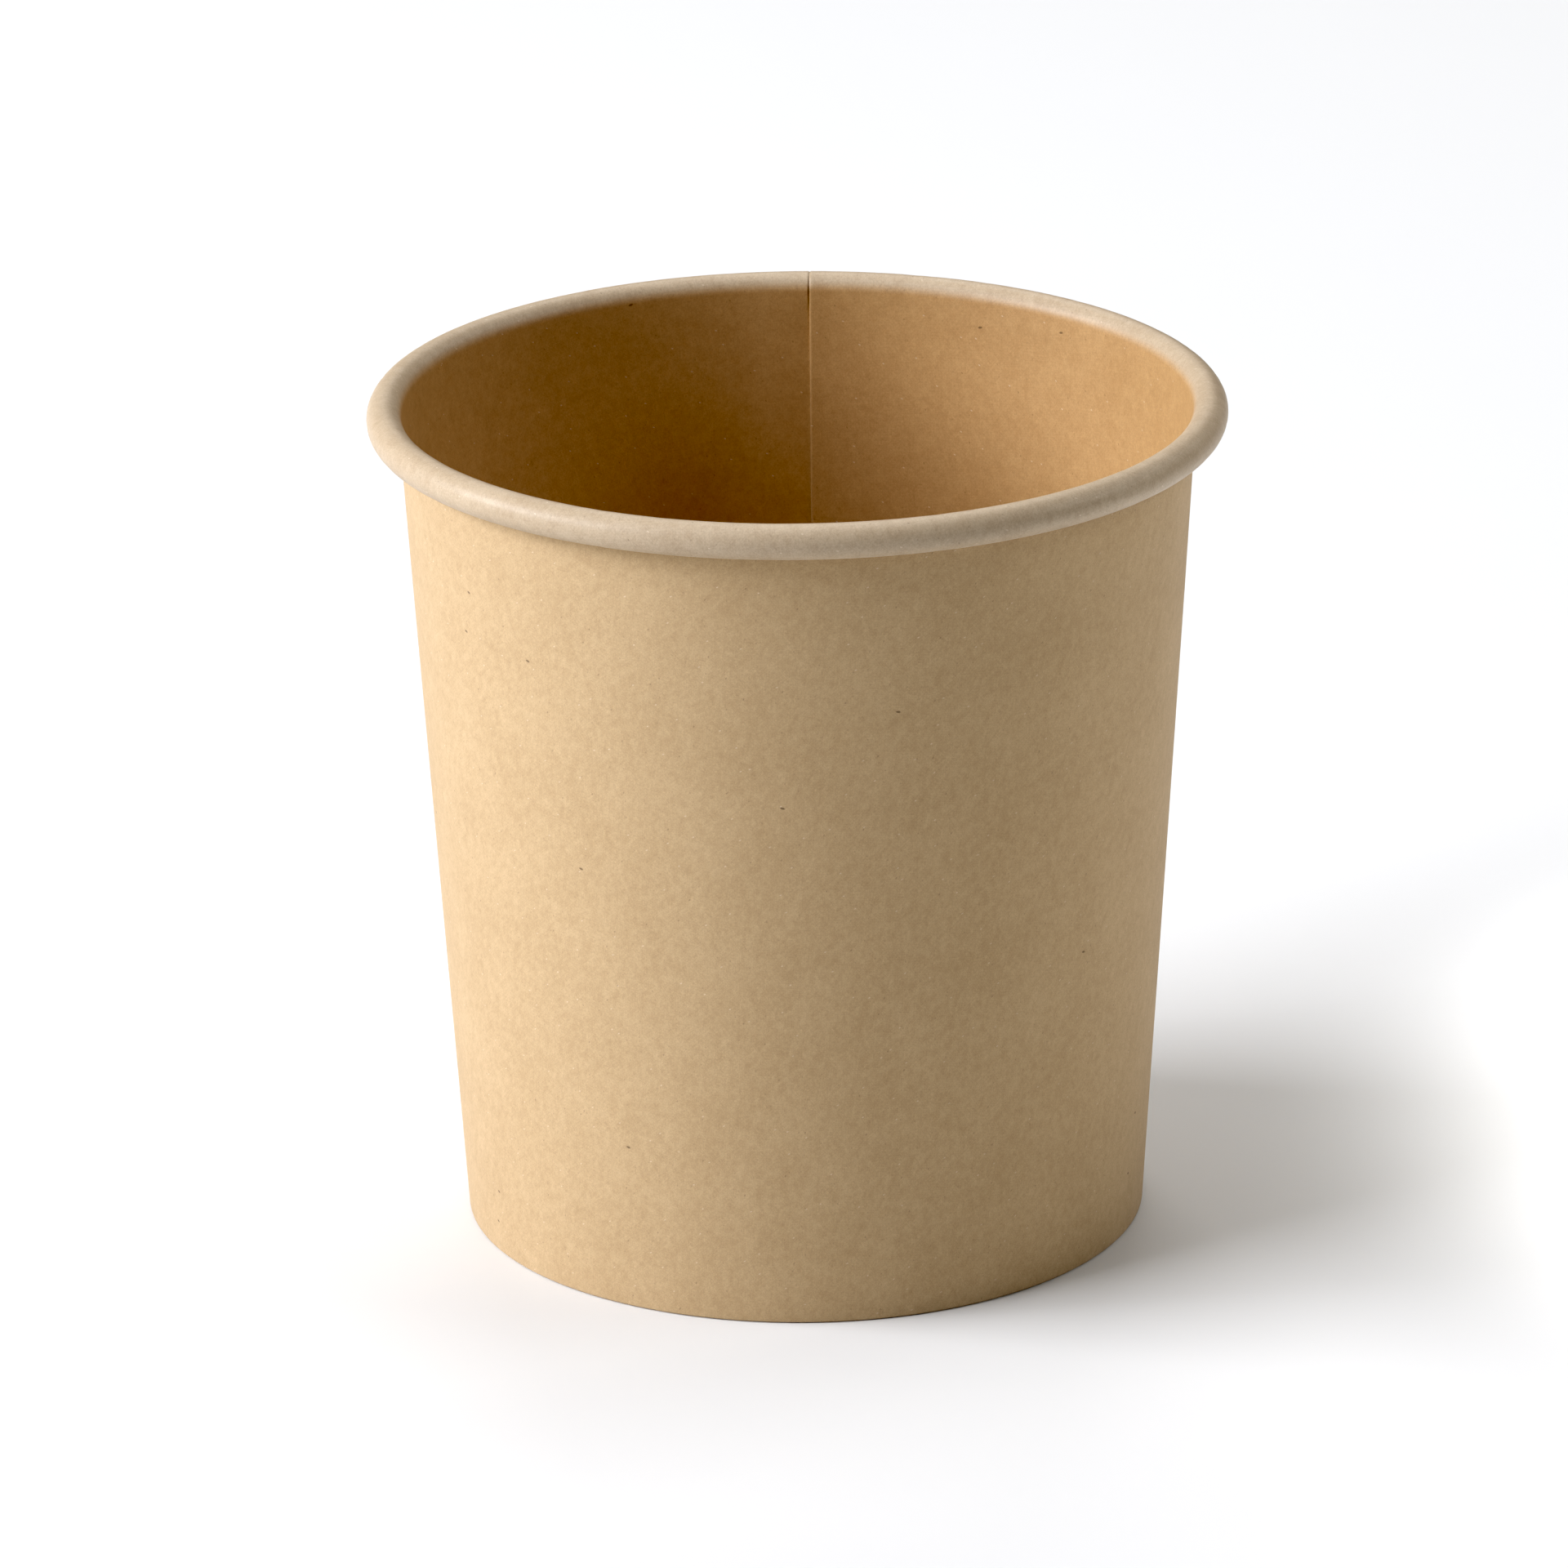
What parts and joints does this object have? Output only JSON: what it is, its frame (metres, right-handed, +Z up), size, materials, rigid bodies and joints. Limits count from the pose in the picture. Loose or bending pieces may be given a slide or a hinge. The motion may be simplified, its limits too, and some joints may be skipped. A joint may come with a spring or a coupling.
{
  "type": "paper soup cup",
  "caption": "Plain kraft paper soup cup without a lid: leaning wall with a lapped side seam, rolled rim, and a recessed skirted base held in a turned-in hem.",
  "frame": {"origin": "on the cup's axis, in the plane that its foot stands on", "axes": "+Z up along the axis, -Y towards the viewer of the picture, +X to the viewer's right; the side seam is at the back, close to +Y"},
  "size_m": [0.098, 0.098, 0.098],
  "materials": {
    "kraft_wall": "matte",
    "kraft_base": "matte"
  },
  "bodies": {
    "root": {"side_wall": "kraft_wall", "base_disc": "kraft_base"}
  },
  "joints": []
}
